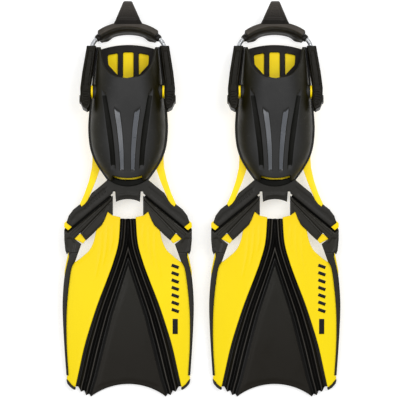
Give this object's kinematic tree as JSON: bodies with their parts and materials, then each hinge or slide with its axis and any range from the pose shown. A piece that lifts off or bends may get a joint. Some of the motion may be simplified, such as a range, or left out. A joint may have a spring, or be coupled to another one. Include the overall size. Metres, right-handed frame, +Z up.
{
  "type": "swim fins",
  "caption": "Pair of open-heel diving fins with foot pockets, hinged side wings, pleated centre blades and spring heel straps.",
  "frame": {"origin": "on the floor, under the middle of the pair's bounding box", "axes": "+Y from the blade tips to the heels, +X to the right seen from above with the heels away, +Z up"},
  "size_m": [0.4702, 0.6703, 0.1043],
  "materials": {
    "pocket_rubber": "moulded satin black rubber",
    "footbed_rubber": "moulded matt black rubber",
    "sole_rubber": "moulded matt black rubber",
    "yoke_rubber": "moulded satin charcoal rubber",
    "rail_rubber": "moulded satin black rubber",
    "pleat_rubber": "moulded satin black rubber",
    "strap_rubber": "moulded satin black rubber",
    "centre_panel": "moulded fine-grain black thermoplastic",
    "black_nylon": "moulded black glass-filled nylon",
    "yellow_frame": "moulded yellow thermoplastic, satin gloss",
    "yellow_wing": "moulded yellow thermoplastic, satin gloss",
    "spring_steel": "bright drawn stainless wire"
  },
  "bodies": {
    "fin_a_foot": {"fin_a_foot_pocket": "pocket_rubber", "fin_a_footbed": "footbed_rubber", "fin_a_sole_frame": "yellow_frame", "fin_a_sole_grips": "sole_rubber", "fin_a_yoke": "yoke_rubber"},
    "fin_a_blade": {"fin_a_centre_panel": "centre_panel", "fin_a_left_bellows": "pleat_rubber", "fin_a_right_bellows": "pleat_rubber"},
    "fin_a_left_wing": {"fin_a_left_wing": "yellow_wing", "fin_a_left_wing_arm": "yoke_rubber", "fin_a_left_edge_rail": "rail_rubber", "fin_a_left_tip_bumper": "rail_rubber"},
    "fin_a_right_wing": {"fin_a_right_wing": "yellow_wing", "fin_a_right_wing_arm": "yoke_rubber", "fin_a_right_edge_rail": "rail_rubber", "fin_a_right_tip_bumper": "rail_rubber"},
    "fin_a_strap": {"fin_a_left_buckle_cover": "strap_rubber", "fin_a_right_buckle_cover": "strap_rubber", "fin_a_left_buckle_swivel": "black_nylon", "fin_a_right_buckle_swivel": "black_nylon", "fin_a_left_spring_anchor": "spring_steel", "fin_a_right_spring_anchor": "spring_steel", "fin_a_strap_spring": "spring_steel"},
    "fin_a_left_button": {"fin_a_left_release_button": "black_nylon"},
    "fin_a_right_button": {"fin_a_right_release_button": "black_nylon"},
    "fin_a_heel_pad": {"fin_a_heel_pad": "strap_rubber"},
    "fin_b_foot": {"fin_b_foot_pocket": "pocket_rubber", "fin_b_footbed": "footbed_rubber", "fin_b_sole_frame": "yellow_frame", "fin_b_sole_grips": "sole_rubber", "fin_b_yoke": "yoke_rubber"},
    "fin_b_blade": {"fin_b_centre_panel": "centre_panel", "fin_b_left_bellows": "pleat_rubber", "fin_b_right_bellows": "pleat_rubber"},
    "fin_b_left_wing": {"fin_b_left_wing": "yellow_wing", "fin_b_left_wing_arm": "yoke_rubber", "fin_b_left_edge_rail": "rail_rubber", "fin_b_left_tip_bumper": "rail_rubber"},
    "fin_b_right_wing": {"fin_b_right_wing": "yellow_wing", "fin_b_right_wing_arm": "yoke_rubber", "fin_b_right_edge_rail": "rail_rubber", "fin_b_right_tip_bumper": "rail_rubber"},
    "fin_b_strap": {"fin_b_left_buckle_cover": "strap_rubber", "fin_b_right_buckle_cover": "strap_rubber", "fin_b_left_buckle_swivel": "black_nylon", "fin_b_right_buckle_swivel": "black_nylon", "fin_b_left_spring_anchor": "spring_steel", "fin_b_right_spring_anchor": "spring_steel", "fin_b_strap_spring": "spring_steel"},
    "fin_b_left_button": {"fin_b_left_release_button": "black_nylon"},
    "fin_b_right_button": {"fin_b_right_release_button": "black_nylon"},
    "fin_b_heel_pad": {"fin_b_heel_pad": "strap_rubber"}
  },
  "joints": [
    {"name": "fin_a_blade_flex", "type": "hinge", "parent": "fin_a_foot", "child": "fin_a_blade", "pos_m": [-0.124, 0.0388, 0.0408], "axis": [1, 0, 0], "range_deg": [-10, 10], "stiffness_Nm_per_rad": 60},
    {"name": "fin_a_left_wing_roll", "type": "hinge", "parent": "fin_a_blade", "child": "fin_a_left_wing", "pos_m": [-0.11391, 0.0388, 0.0408], "axis": [0.2208, 0.9709, 0.093], "range_deg": [-10.8, 10.8], "stiffness_Nm_per_rad": 6, "deforming": ["fin_a_left_bellows"]},
    {"name": "fin_a_right_wing_roll", "type": "hinge", "parent": "fin_a_blade", "child": "fin_a_right_wing", "pos_m": [-0.13409, 0.0388, 0.0408], "axis": [0.2208, -0.9709, -0.093], "range_deg": [-10.8, 10.8], "stiffness_Nm_per_rad": 6, "deforming": ["fin_a_right_bellows"]},
    {"name": "fin_a_strap_swing", "type": "hinge", "parent": "fin_a_foot", "child": "fin_a_strap", "pos_m": [-0.124, 0.182, 0.057], "axis": [1, 0, 0], "range_deg": [-5, 130]},
    {"name": "fin_a_strap_stretch", "type": "slide", "parent": "fin_a_strap", "child": "fin_a_heel_pad", "axis": [0, 0.9492, -0.3147], "range_m": [0, 0.04], "stiffness_N_per_m": 600, "deforming": ["fin_a_strap_spring"]},
    {"name": "fin_a_left_button_press", "type": "slide", "parent": "fin_a_strap", "child": "fin_a_left_button", "axis": [1, 0, 0], "range_m": [0, 0.003], "stiffness_N_per_m": 400},
    {"name": "fin_a_right_button_press", "type": "slide", "parent": "fin_a_strap", "child": "fin_a_right_button", "axis": [-1, 0, 0], "range_m": [0, 0.003], "stiffness_N_per_m": 400},
    {"name": "fin_b_lift", "type": "slide", "parent": "fin_a_foot", "child": "fin_b_foot", "axis": [0, 0, 1], "range_m": [0, 0.15]},
    {"name": "fin_b_blade_flex", "type": "hinge", "parent": "fin_b_foot", "child": "fin_b_blade", "pos_m": [0.124, 0.0388, 0.0408], "axis": [1, 0, 0], "range_deg": [-10, 10], "stiffness_Nm_per_rad": 60},
    {"name": "fin_b_left_wing_roll", "type": "hinge", "parent": "fin_b_blade", "child": "fin_b_left_wing", "pos_m": [0.13409, 0.0388, 0.0408], "axis": [0.2208, 0.9709, 0.093], "range_deg": [-10.8, 10.8], "stiffness_Nm_per_rad": 6, "deforming": ["fin_b_left_bellows"]},
    {"name": "fin_b_right_wing_roll", "type": "hinge", "parent": "fin_b_blade", "child": "fin_b_right_wing", "pos_m": [0.11391, 0.0388, 0.0408], "axis": [0.2208, -0.9709, -0.093], "range_deg": [-10.8, 10.8], "stiffness_Nm_per_rad": 6, "deforming": ["fin_b_right_bellows"]},
    {"name": "fin_b_strap_swing", "type": "hinge", "parent": "fin_b_foot", "child": "fin_b_strap", "pos_m": [0.124, 0.182, 0.057], "axis": [1, 0, 0], "range_deg": [-5, 130]},
    {"name": "fin_b_strap_stretch", "type": "slide", "parent": "fin_b_strap", "child": "fin_b_heel_pad", "axis": [0, 0.9492, -0.3147], "range_m": [0, 0.04], "stiffness_N_per_m": 600, "deforming": ["fin_b_strap_spring"]},
    {"name": "fin_b_left_button_press", "type": "slide", "parent": "fin_b_strap", "child": "fin_b_left_button", "axis": [1, 0, 0], "range_m": [0, 0.003], "stiffness_N_per_m": 400},
    {"name": "fin_b_right_button_press", "type": "slide", "parent": "fin_b_strap", "child": "fin_b_right_button", "axis": [-1, 0, 0], "range_m": [0, 0.003], "stiffness_N_per_m": 400}
  ],
  "couplings": [
    {"joint": "fin_a_left_wing_roll", "follows": "fin_a_blade_flex", "ratio": 1.035},
    {"joint": "fin_a_right_wing_roll", "follows": "fin_a_blade_flex", "ratio": 1.035},
    {"joint": "fin_b_left_wing_roll", "follows": "fin_b_blade_flex", "ratio": 1.035},
    {"joint": "fin_b_right_wing_roll", "follows": "fin_b_blade_flex", "ratio": 1.035}
  ]
}
